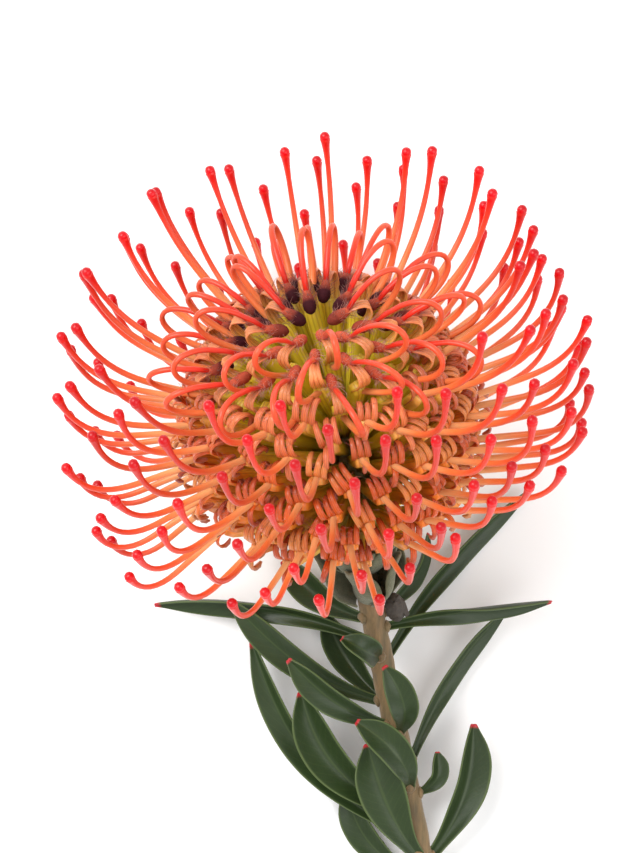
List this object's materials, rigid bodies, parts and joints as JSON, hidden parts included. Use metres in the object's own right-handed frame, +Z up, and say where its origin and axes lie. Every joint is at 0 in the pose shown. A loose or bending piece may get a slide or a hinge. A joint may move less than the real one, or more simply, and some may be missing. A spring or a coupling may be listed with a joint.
{
  "type": "pincushion protea flower",
  "caption": "Cut pincushion protea lying down: a domed head of coral styles with red tips on a leafy tan stem",
  "frame": {"origin": "on the table, under the centre of the flower's bounding box", "axes": "+Y from the cut end towards the head, +Z up from the table, +X to the right seen from above with the head at the top"},
  "size_m": [0.1098, 0.2235, 0.1087],
  "materials": {
    "style": "smooth and waxy, coral fading to yellow-green at the root",
    "presenter": "glossy red",
    "perianth": "waxy curled segments, orange-brown and yellow-green",
    "wool": "fine matted hairs on the closed limbs",
    "leaf": "leathery, dark green, pale midrib, red tip",
    "bract": "grey-green scales under short wool",
    "bark": "tan, finely furrowed, with short down",
    "bud": "dry, dark and wrinkled"
  },
  "bodies": {
    "root": {"floret_row_01": "style", "floret_row_02": "style", "floret_row_03": "style", "floret_row_04": "style", "floret_row_05": "style", "floret_row_06": "style", "floret_row_07": "style", "floret_row_08": "style", "floret_row_09": "style", "floret_row_10": "style", "floret_row_11": "style", "floret_row_12": "style", "floret_row_13": "style", "floret_row_14": "style", "floret_row_15": "style", "floret_row_16": "style", "floret_row_17": "style", "floret_row_18": "style", "floret_row_19": "style", "floret_row_20": "style", "floret_row_21": "style", "leaf_01": "leaf", "leaf_02": "leaf", "leaf_03": "leaf", "leaf_04": "leaf", "leaf_05": "leaf", "leaf_06": "leaf", "leaf_07": "leaf", "leaf_08": "leaf", "leaf_09": "leaf", "leaf_10": "leaf", "leaf_11": "leaf", "leaf_12": "leaf", "leaf_13": "leaf", "leaf_14": "leaf", "leaf_15": "leaf", "leaf_16": "leaf", "leaf_17": "leaf", "leaf_18": "leaf", "bract_01": "bract", "bract_02": "bract", "bract_03": "bract", "bract_04": "bract", "bract_05": "bract", "bract_06": "bract", "bract_07": "bract", "bract_08": "bract", "bract_09": "bract", "bract_10": "bract", "bract_11": "bract", "bract_12": "bract", "bract_13": "bract", "stem": "bark", "side_bud": "bud"}
  },
  "joints": []
}
